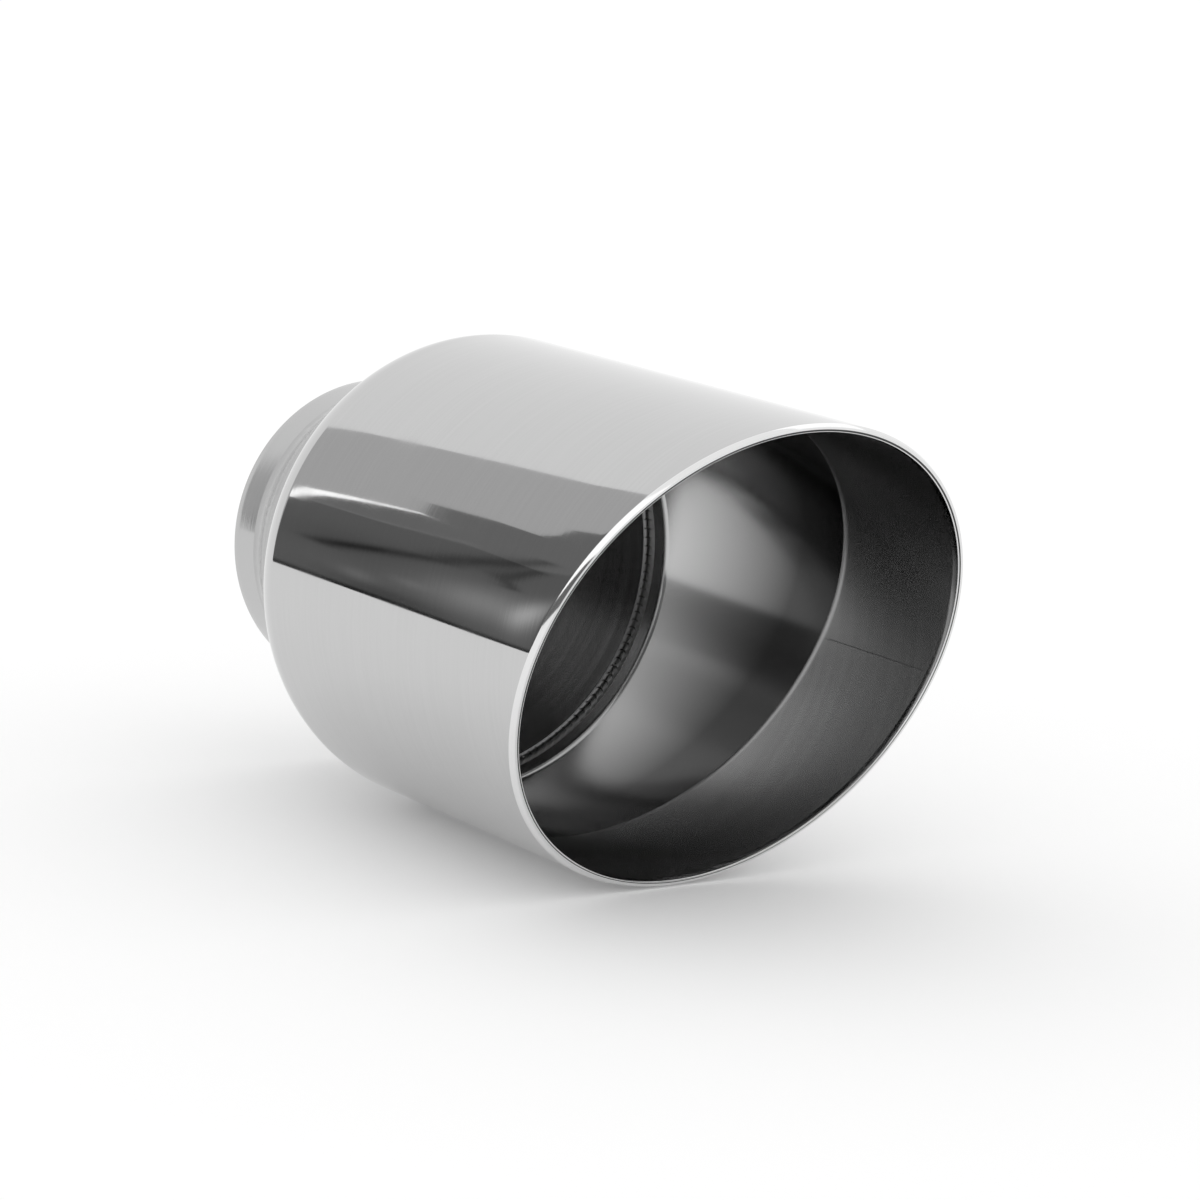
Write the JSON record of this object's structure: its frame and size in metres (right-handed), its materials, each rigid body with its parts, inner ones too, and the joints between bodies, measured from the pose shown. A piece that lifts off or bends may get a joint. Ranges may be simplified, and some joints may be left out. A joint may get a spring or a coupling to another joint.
{
  "type": "exhaust tip",
  "caption": "Slant-cut round exhaust tip: polished steel outlet tube with a sleeve in its mouth, tapered reducer and plain inlet collar for a slip-on, weld-on or clamped pipe end.",
  "frame": {"origin": "centre of the inlet collar's opening, on the pipe axis", "axes": "+Y along the pipe axis out of the inlet, so the mouth faces -Y; +Z towards the long side of the slanted mouth"},
  "size_m": [0.0888, 0.1483, 0.0888],
  "materials": {
    "polished_steel": "polished stainless sheet with fine lines round the tube",
    "sleeve_steel": "rolled stainless sheet, duller than the outside",
    "collar_steel": "bright drawn stainless tube",
    "weld_steel": "dressed stainless weld"
  },
  "bodies": {
    "root": {"outlet_tube": "polished_steel", "mouth_sleeve": "sleeve_steel", "reducer": "polished_steel", "inlet_collar": "collar_steel", "seam_weld": "weld_steel", "collar_weld": "weld_steel"}
  },
  "joints": []
}
